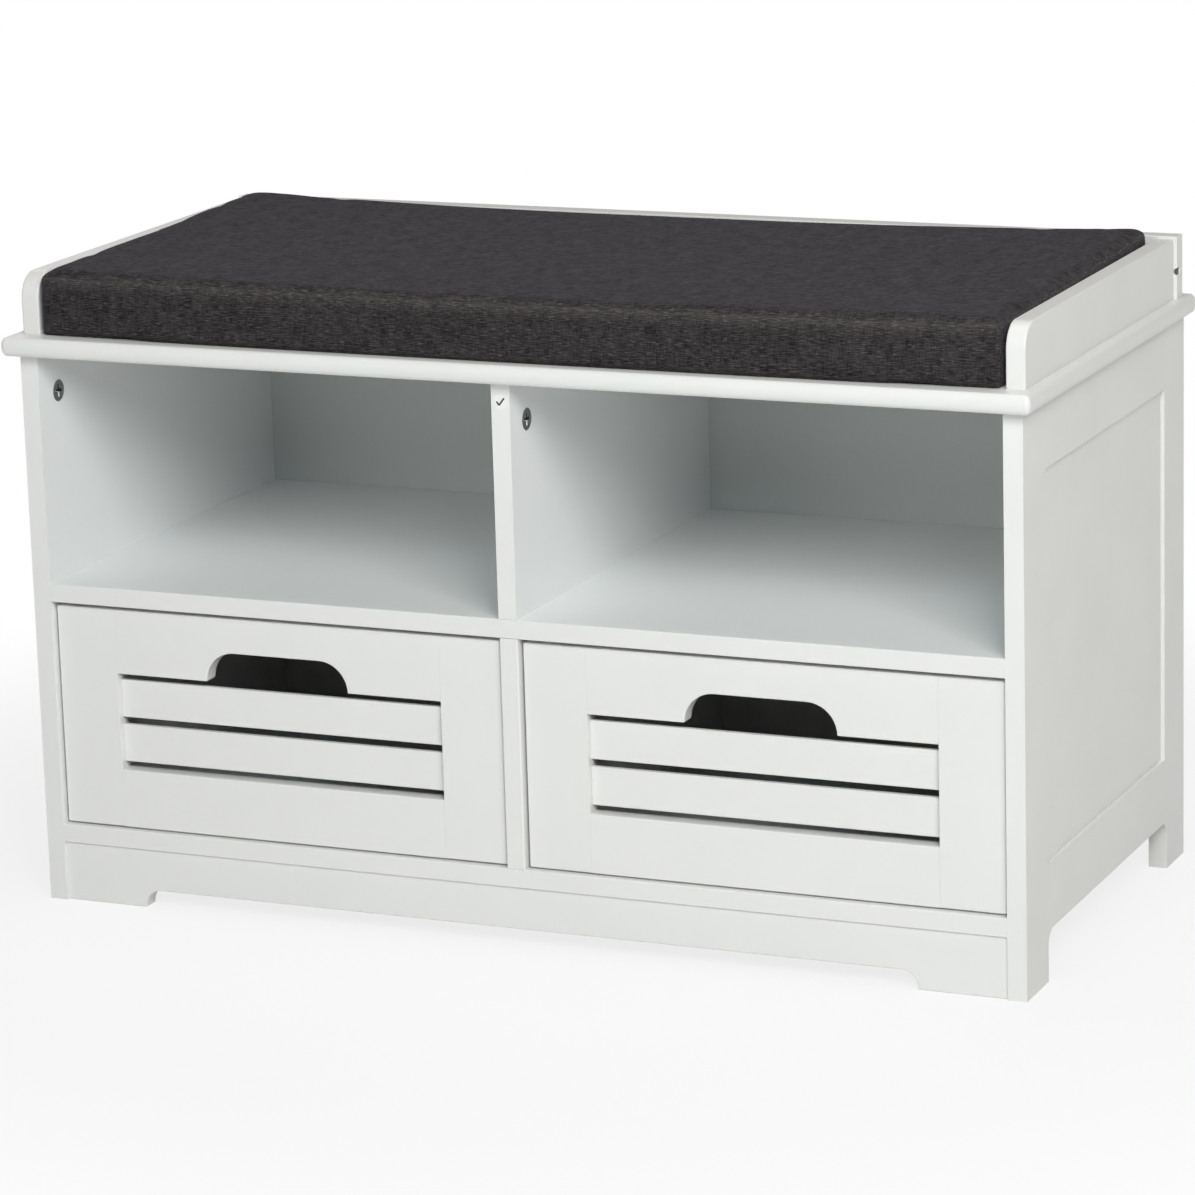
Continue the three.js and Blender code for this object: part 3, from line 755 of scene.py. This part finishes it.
def linen_look_cloth():
    """Piece-dyed polyester woven to look like linen: slubby weft along the cloth and finer warp across it,
    in dark and mid greys, dull with a bloom where light grazes it, with a painted highlight along the upper
    seam and painted shade in a thin line along each seam. The threads are really about 0.4 mm apart, and
    are drawn 0.8 mm apart so that they show."""
    material = new_material("charcoal linen-look polyester")
    cloth = add_node(material, "ShaderNodeUVMap", uv_map="cloth").outputs["UV"]

    def streaks(along, across, detail):
        """Thread-like noise: how long and how wide its streaks are."""
        scale = (1 / along, 1 / across, 1)
        stretched = add_node(material, "ShaderNodeMapping", {"Vector": cloth, "Scale": scale})
        noise = add_node(
            material,
            "ShaderNodeTexNoise",
            {"Vector": stretched.outputs["Vector"], "Scale": 1, "Detail": detail, "Roughness": 0.6},
        )
        return noise.outputs["Fac"]

    def combine(operation, first, second):
        """One step of arithmetic between two values."""
        return add_node(material, "ShaderNodeMath", {0: first, 1: second}, operation=operation).outputs[0]

    def ranged(value, low, high, start, end):
        """A value mapped from one range to another."""
        limits = {"Value": value, "From Min": low, "From Max": high, "To Min": start, "To Max": end}
        return add_node(material, "ShaderNodeMapRange", limits).outputs["Result"]

    weft = streaks(0.0075, 0.0008, 2)
    slub = streaks(0.006, 0.0009, 1)
    warp = streaks(0.0009, 0.010, 2)
    thick_weft = streaks(0.022, 0.004, 3)
    thick_warp = streaks(0.004, 0.022, 3)
    blotch = streaks(0.014, 0.026, 2)
    threads = combine("ADD", combine("MULTIPLY", weft, 0.7), combine("MULTIPLY", warp, 0.3))
    woven_tone = combine("ADD", combine("MULTIPLY", threads, 0.83), combine("MULTIPLY", blotch, 0.17))
    distance = add_node(material, "ShaderNodeAttribute", attribute_name="seam distance").outputs["Fac"]
    thick = combine("ADD", combine("MULTIPLY", thick_weft, 0.65), combine("MULTIPLY", thick_warp, 0.35))
    thickness_shows = ranged(distance, -0.002, 0.002, 0.5, 0.25)  # more on the panels than on the boxing
    uneven = combine("MULTIPLY", combine("SUBTRACT", thick, 0.5), thickness_shows)
    shades = add_node(material, "ShaderNodeValToRGB", {"Fac": combine("ADD", woven_tone, uneven)})
    stops = shades.color_ramp.elements
    stops[0].position = 0.4
    stops[0].color = linear("#1a1718")
    stops[1].position = 0.6
    stops[1].color = linear("#444041")
    near = combine("ABSOLUTE", distance, 0)
    highlight_distance = add_node(material, "ShaderNodeAttribute", attribute_name="seam highlight distance").outputs["Fac"]
    highlighted = combine("SUBTRACT", 1, highlight_distance)
    # More pale flecks and a paler tone near the upper seam make up the painted highlight there.
    flecks = ranged(combine("ADD", slub, combine("MULTIPLY", highlighted, 0.06)), 0.6, 0.78, 0, 0.4)
    flecked = add_node(
        material,
        "ShaderNodeMix",
        {"Factor": flecks, 6: shades.outputs["Color"], 7: linear("#857f7d")},
        data_type="RGBA",
    )
    paled = add_node(
        material,
        "ShaderNodeMix",
        {"Factor": combine("MULTIPLY", highlighted, 0.10), 6: flecked.outputs[2], 7: linear("#8a8583")},
        data_type="RGBA",
    )
    # Painted shade: a thin darker line along each seam, for the shade in its groove.
    painted_seam_shade = add_node(
        material,
        "ShaderNodeMix",
        {"Factor": 1, 6: paled.outputs[2], 7: ranged(near, 0.0002, 0.001, 0.88, 1)},
        data_type="RGBA",
        blend_type="MULTIPLY",
    )
    groove = combine("MULTIPLY", ranged(near, 0.0002, 0.0012, 0, 1), 2)
    relief = combine("ADD", combine("ADD", threads, combine("MULTIPLY", slub, 0.6)), groove)
    bump = add_node(material, "ShaderNodeBump", {"Height": relief, "Strength": 0.6, "Distance": 0.0004})
    woven = add_node(
        material,
        "ShaderNodeBsdfPrincipled",
        {
            "Base Color": painted_seam_shade.outputs[2],
            "Roughness": 0.95,
            "IOR": 1.4,
            "Specular IOR Level": 0.15,
            "Sheen Weight": 0.12,
            "Sheen Roughness": 0.5,
            "Sheen Tint": linear("#b0acc0"),
            "Normal": bump.outputs["Normal"],
        },
    )
    add_node(material, "ShaderNodeOutputMaterial", {"Surface": woven.outputs["BSDF"]})
    return material


pad.data.materials.append(linen_look_cloth())
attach(pad, "cushion")
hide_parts("seat_cushion")


# ---------- Floor, backdrop and lamps ----------
# A seamless pale floor and a white surround, with large soft lamps: a warm key from the front right, a
# cooler fill beside it, and weaker ones above, on the left and behind.

FLOOR_REACH = 30
SHADOW_REACH = (0.55, 1.1)  # where the bench's shadow starts to fade, and where it is gone
LAMP_WIDTH = 1.3
LAMP_AIM = Vector((0, 0, 0.25))


def studio_floor():
    """A matt white floor that shows white to the camera and keeps the bench's soft shadow close to it."""
    material = new_material("white studio floor")
    rays = add_node(material, "ShaderNodeLightPath")
    shown = add_node(
        material,
        "ShaderNodeMath",
        {0: rays.outputs["Is Camera Ray"], 1: rays.outputs["Is Glossy Ray"]},
        operation="MAXIMUM",
    )
    seen = add_node(
        material,
        "ShaderNodeMath",
        {0: shown.outputs[0], 1: rays.outputs["Is Transmission Ray"]},
        operation="MAXIMUM",
    )
    place = add_node(material, "ShaderNodeTexCoord").outputs["Object"]
    away = add_node(material, "ShaderNodeVectorMath", {0: place}, operation="LENGTH").outputs["Value"]
    whitening = add_node(
        material,
        "ShaderNodeMapRange",
        {
            "Value": away,
            "From Min": SHADOW_REACH[0],
            "From Max": SHADOW_REACH[1],
            "To Min": 0.8,
            "To Max": 1,
        },
        interpolation_type="SMOOTHSTEP",
    )
    matt = add_node(material, "ShaderNodeBsdfDiffuse", {"Color": linear("#e6e6e6")})
    glow = add_node(material, "ShaderNodeEmission", {"Color": linear("#ffffff"), "Strength": 1})
    lifted = add_node(
        material,
        "ShaderNodeMixShader",
        {"Fac": whitening.outputs["Result"], 1: matt.outputs["BSDF"], 2: glow.outputs["Emission"]},
    )
    floor = add_node(
        material,
        "ShaderNodeMixShader",
        {"Fac": seen.outputs[0], 1: matt.outputs["BSDF"], 2: lifted.outputs["Shader"]},
    )
    add_node(material, "ShaderNodeOutputMaterial", {"Surface": floor.outputs["Shader"]})
    return material


floor_shape = bmesh.new()
bmesh.ops.create_grid(floor_shape, x_segments=1, y_segments=1, size=FLOOR_REACH)
floor_mesh = bpy.data.meshes.new("floor")
floor_shape.to_mesh(floor_mesh)
floor_shape.free()
floor_mesh.materials.append(studio_floor())
floor = bpy.data.objects.new("floor", floor_mesh)
bpy.context.scene.collection.objects.link(floor)

world = bpy.data.worlds.new("white surround")
bpy.context.scene.world = world
world.use_nodes = True
world.node_tree.nodes.clear()
rays = add_node(world, "ShaderNodeLightPath")
shown = add_node(
    world,
    "ShaderNodeMath",
    {0: rays.outputs["Is Camera Ray"], 1: rays.outputs["Is Transmission Ray"]},
    operation="MAXIMUM",
)
ambient = add_node(world, "ShaderNodeBackground", {"Color": linear("#ffffff"), "Strength": 0.1})
white = add_node(world, "ShaderNodeBackground", {"Color": linear("#ffffff"), "Strength": 1})
surround = add_node(
    world,
    "ShaderNodeMixShader",
    {"Fac": shown.outputs[0], 1: ambient.outputs["Background"], 2: white.outputs["Background"]},
)
add_node(world, "ShaderNodeOutputWorld", {"Surface": surround.outputs["Shader"]})


def soft_lamp(name, place, power, colour):
    """A square soft box turned to the bench."""
    lamp = bpy.data.lights.new(name, "AREA")
    lamp.size = LAMP_WIDTH
    lamp.energy = power
    lamp.color = linear(colour)[:3]
    stand = bpy.data.objects.new(name, lamp)
    stand.location = place
    stand.rotation_euler = (LAMP_AIM - Vector(place)).to_track_quat("-Z", "Y").to_euler()
    bpy.context.scene.collection.objects.link(stand)


soft_lamp("key", (1.853, -2.209, 2.052), 55, "#fffcf5")
soft_lamp("fill", (0.986, -2.709, 2.052), 31, "#e7f5ff")
soft_lamp("top", (0, 0, 3.4), 21, "#fff7f2")
soft_lamp("left", (-1.137, -3.125, 0.957), 9.5, "#fffbf2")
soft_lamp("back left", (-2.2, 2.2, 1.8), 10, "#ffffff")
soft_lamp("back right", (2.2, 2.2, 1.8), 10, "#ffffff")


# ---------- Camera ----------
# A long lens from the front right, a little above the seat and tipped slightly on its tripod.

CAMERA_AIM = (-0.0094, 0, 0.2308)
CAMERA_DISTANCE = 3.892
CAMERA_TURN = 23.70  # degrees to the right of straight in front
CAMERA_RISE = 13.93  # degrees above level
CAMERA_TIP = -1.665  # degrees, about the line of sight

camera_data = bpy.data.cameras.new("camera")
camera_data.lens = 148.1
camera_data.sensor_width = 36
camera = bpy.data.objects.new("camera", camera_data)
bpy.context.scene.collection.objects.link(camera)
bpy.context.scene.camera = camera
turned = (
    Matrix.Rotation(math.radians(CAMERA_TURN), 4, "Z")
    @ Matrix.Rotation(math.radians(90 - CAMERA_RISE), 4, "X")
    @ Matrix.Rotation(math.radians(CAMERA_TIP), 4, "Z")
)
camera.matrix_world = (
    Matrix.Translation(CAMERA_AIM) @ turned @ Matrix.Translation((0, 0, CAMERA_DISTANCE))
)

bpy.context.scene.view_settings.view_transform = "Standard"
